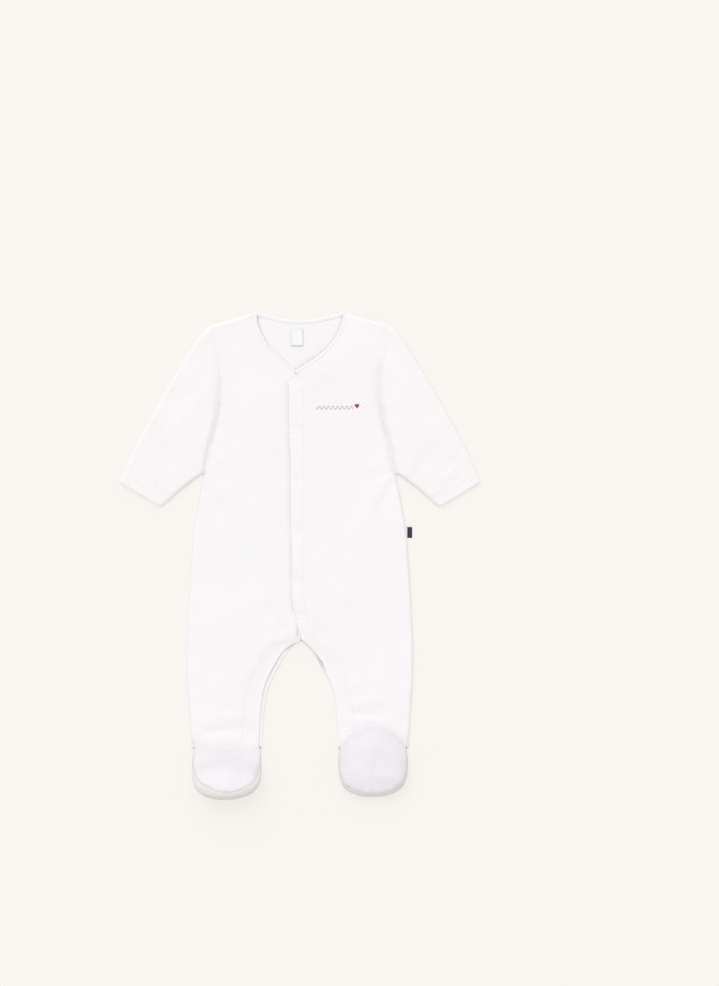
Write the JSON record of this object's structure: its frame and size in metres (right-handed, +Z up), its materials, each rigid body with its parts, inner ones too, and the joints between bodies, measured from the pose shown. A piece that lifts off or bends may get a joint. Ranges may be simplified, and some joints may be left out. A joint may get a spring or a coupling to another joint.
{
  "type": "footed baby sleepsuit laid flat",
  "caption": "White velour footed baby sleepsuit lying flat: V neck with a front snap opening that runs down both inner legs, long set-in sleeves and soft rounded feet.",
  "frame": {"origin": "middle of the box round the suit, on the ground that it lies on", "axes": "+X towards the wearer's left, +Y along the suit towards the neck, +Z up out of the front"},
  "size_m": [0.4152, 0.5606, 0.0404],
  "materials": {
    "velour": "soft cotton velour",
    "cap": "satin snap cap",
    "tape": "woven tape",
    "navy": "woven tape"
  },
  "bodies": {
    "root": {"back_panel": "velour", "front_left": "velour", "front_right": "velour", "sleeve_left": "velour", "sleeve_right": "velour", "neck_binding": "velour", "foot_upper_left": "velour", "foot_upper_right": "velour", "foot_sole_left": "velour", "foot_sole_right": "velour", "snap_front_1": "cap", "snap_front_2": "cap", "snap_front_3": "cap", "snap_front_4": "cap", "snap_front_5": "cap", "snap_front_6": "cap", "snap_leg_left_1": "cap", "snap_leg_left_2": "cap", "snap_leg_right_1": "cap", "snap_leg_right_2": "cap", "neck_label": "tape", "side_tab": "navy"}
  },
  "joints": []
}
